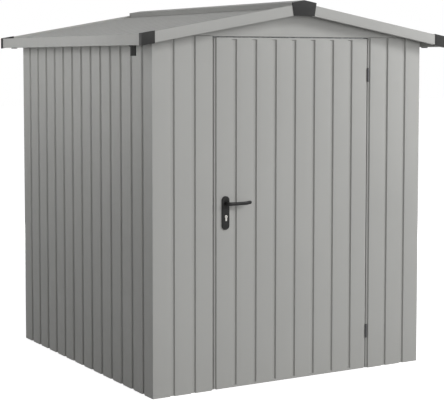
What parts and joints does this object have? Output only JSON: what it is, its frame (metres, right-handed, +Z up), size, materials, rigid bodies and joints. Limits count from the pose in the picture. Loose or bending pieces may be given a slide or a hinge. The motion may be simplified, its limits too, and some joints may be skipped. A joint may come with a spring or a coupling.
{
  "type": "metal tool shed",
  "caption": "Square shed of grooved sheet steel with a low gable roof, black corner caps, eave gutters and a hinged door with a lever handle, for tools.",
  "frame": {"origin": "centre of the walls' plan, on the ground", "axes": "+Z up, -Y out of the front with the door, +X to the right seen from the front"},
  "size_m": [2.026, 1.994, 2.1487],
  "materials": {
    "painted_sheet": "satin grey paint",
    "frame_steel": "galvanised",
    "black_plastic": "moulded, fine grain",
    "handle_black": "satin",
    "hinge_steel": "dark zinc",
    "lock_steel": "zinc plated",
    "cylinder_nickel": "nickel plated"
  },
  "bodies": {
    "shed": {"base_rail_front": "frame_steel", "base_rail_left": "frame_steel", "base_rail_rear": "frame_steel", "base_rail_right": "frame_steel", "corner_caps": "black_plastic", "corner_posts": "frame_steel", "door_head": "frame_steel", "door_jamb_left": "frame_steel", "door_jamb_right": "frame_steel", "drain_plugs": "black_plastic", "drain_spouts": "black_plastic", "eave_rail_left": "frame_steel", "eave_rail_right": "frame_steel", "front_gable": "painted_sheet", "front_wall_left": "painted_sheet", "front_wall_right": "painted_sheet", "gutter_left": "painted_sheet", "gutter_right": "painted_sheet", "hinge_frame_leaves": "hinge_steel", "left_wall": "painted_sheet", "rear_gable": "painted_sheet", "rear_wall": "painted_sheet", "ridge_beam": "frame_steel", "ridge_cap": "painted_sheet", "ridge_end_caps": "black_plastic", "right_wall": "painted_sheet", "roof_sheet_left": "painted_sheet", "roof_sheet_right": "painted_sheet", "verge_front_left": "painted_sheet", "verge_front_right": "painted_sheet", "verge_rear_left": "painted_sheet", "verge_rear_right": "painted_sheet"},
    "door": {"door_skin": "painted_sheet", "lock_stile": "frame_steel", "hinge_stile": "frame_steel", "door_rails": "frame_steel", "hinge_door_leaves": "hinge_steel", "lock_case": "lock_steel", "lock_cylinder": "cylinder_nickel", "handle_plate_outer": "handle_black", "handle_plate_inner": "handle_black"},
    "handle": {"lever_outer": "handle_black", "lever_inner": "handle_black", "spindle": "lock_steel"}
  },
  "joints": [
    {"name": "door_hinge", "type": "hinge", "parent": "shed", "child": "door", "pos_m": [0.52, -0.893, 0.976], "axis": [0, 0, 1], "range_deg": [0, 110]},
    {"name": "handle_turn", "type": "hinge", "parent": "door", "child": "handle", "pos_m": [-0.45, -0.8825, 1.032], "axis": [0, 1, 0], "range_deg": [0, 40], "stiffness_Nm_per_rad": 2, "springref_deg": -20.05}
  ]
}
